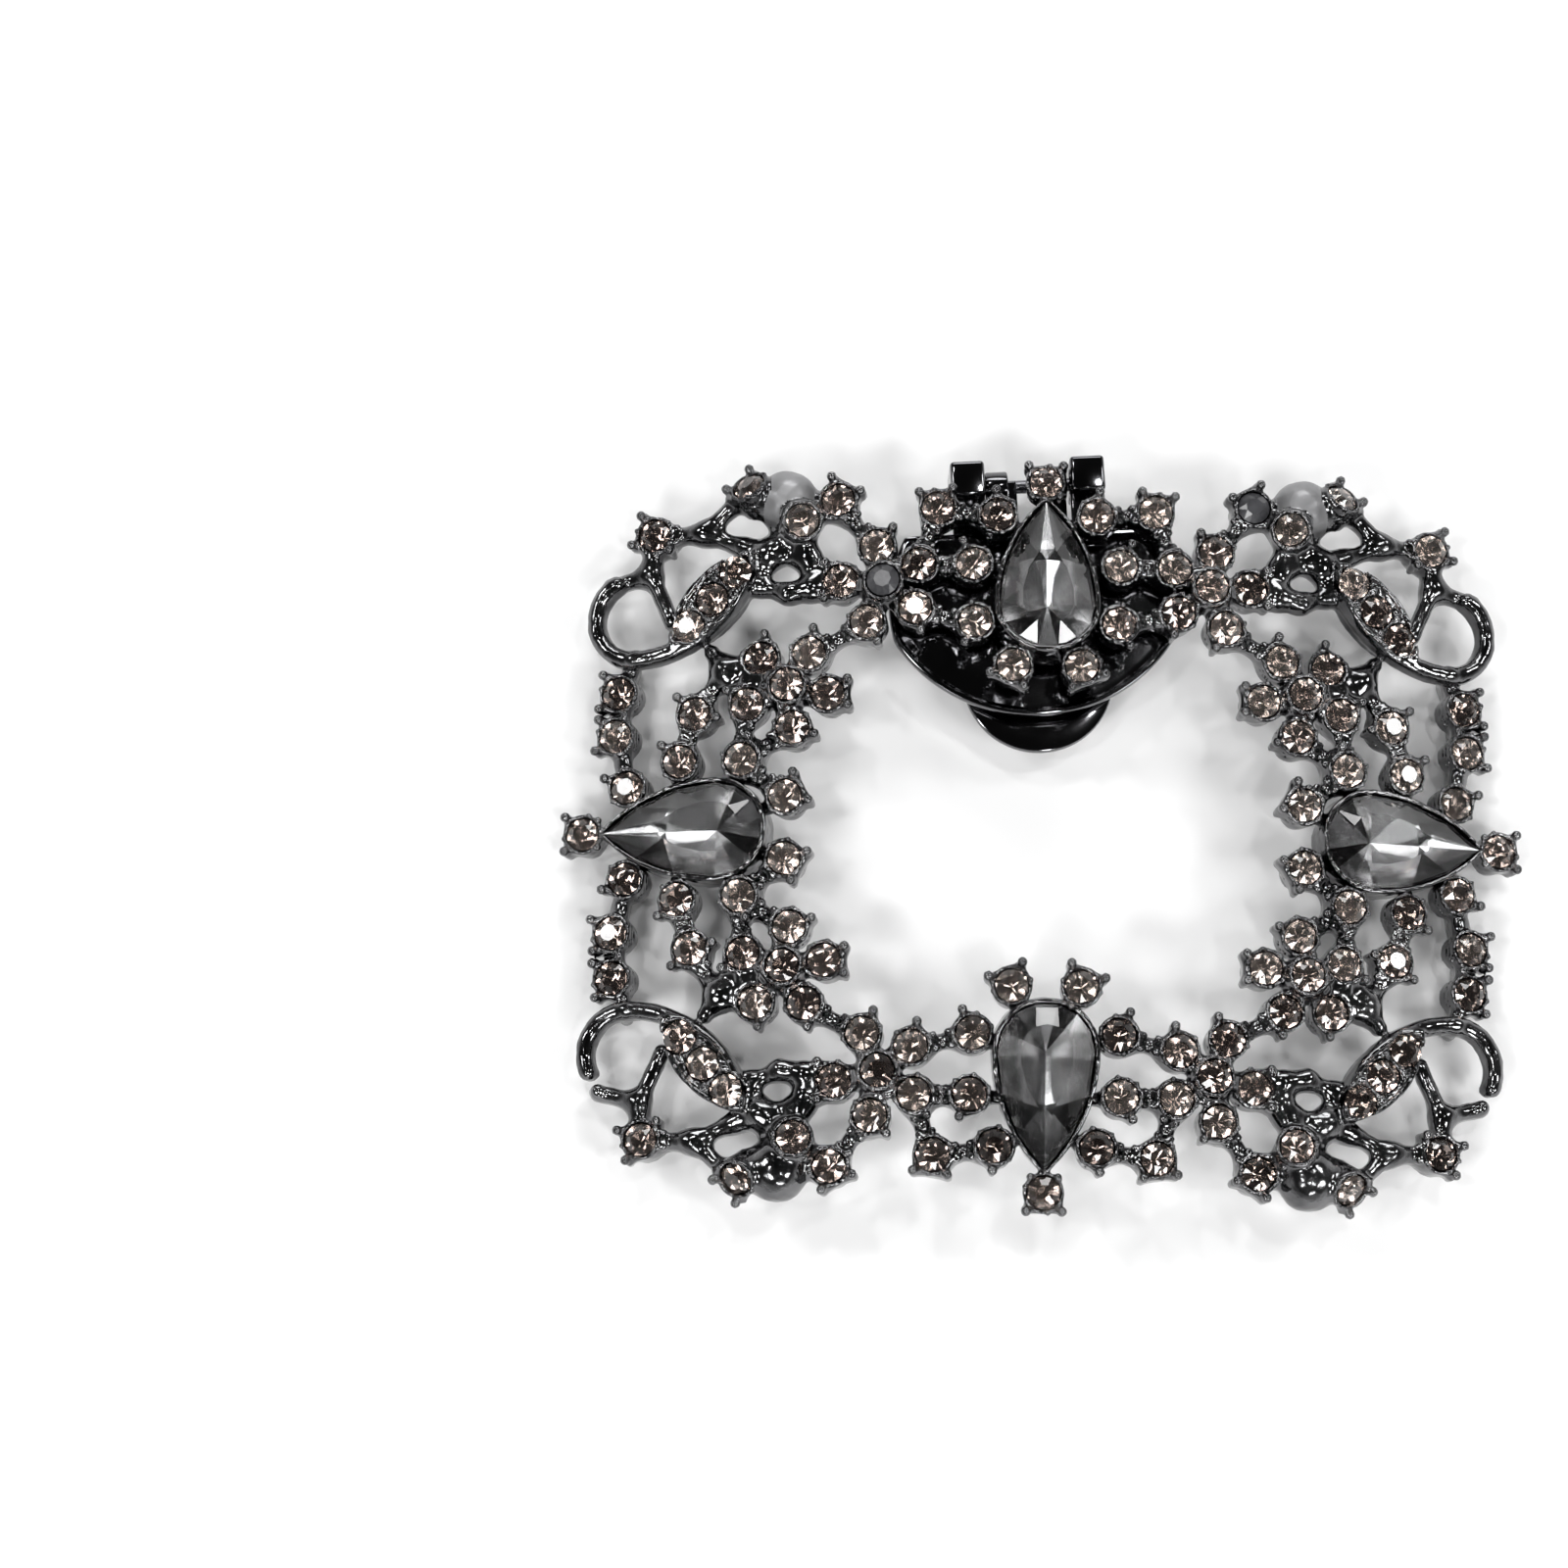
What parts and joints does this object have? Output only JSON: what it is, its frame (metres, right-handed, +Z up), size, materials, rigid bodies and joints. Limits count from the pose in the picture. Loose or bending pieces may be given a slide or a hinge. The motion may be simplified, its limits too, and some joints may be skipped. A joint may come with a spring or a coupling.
{
  "type": "shoe buckle with a clip",
  "caption": "Pierced square cast shoe buckle set with smoky round and pear stones, bowed across its width, with a hinged clip behind its top side.",
  "frame": {"origin": "on the floor under the middle of the buckle's bounding box, as it rests on its side rails", "axes": "+Z up, out of the stones' faces; +Y towards the side that carries the clip; +X to the right, across the bow"},
  "size_m": [0.071, 0.0573, 0.0109],
  "materials": {
    "gunmetal_casting": "glossy dark gunmetal plating on a zinc casting, with cast unevenness",
    "small_stones": "faceted smoky pinkish-brown glass with a foiled back",
    "pear_stones": "faceted grey glass with a foiled back",
    "clip_steel": "glossy black plating on stamped steel",
    "pin_steel": "dark plated steel wire"
  },
  "bodies": {
    "buckle": {"frame": "gunmetal_casting", "small_stones": "small_stones", "pear_stone_top": "pear_stones", "pear_stone_bottom": "pear_stones", "pear_stone_left": "pear_stones", "pear_stone_right": "pear_stones", "clip_plate": "clip_steel", "hinge_pin": "pin_steel"},
    "jaw": {"clip_jaw": "clip_steel"}
  },
  "joints": [
    {"name": "jaw_hinge", "type": "hinge", "parent": "buckle", "child": "jaw", "pos_m": [-0.00134, 0.02727, 0.0042], "axis": [0.9976, 0.0698, 0], "range_deg": [0, 30], "stiffness_Nm_per_rad": 0.02, "springref_deg": -20.05}
  ]
}
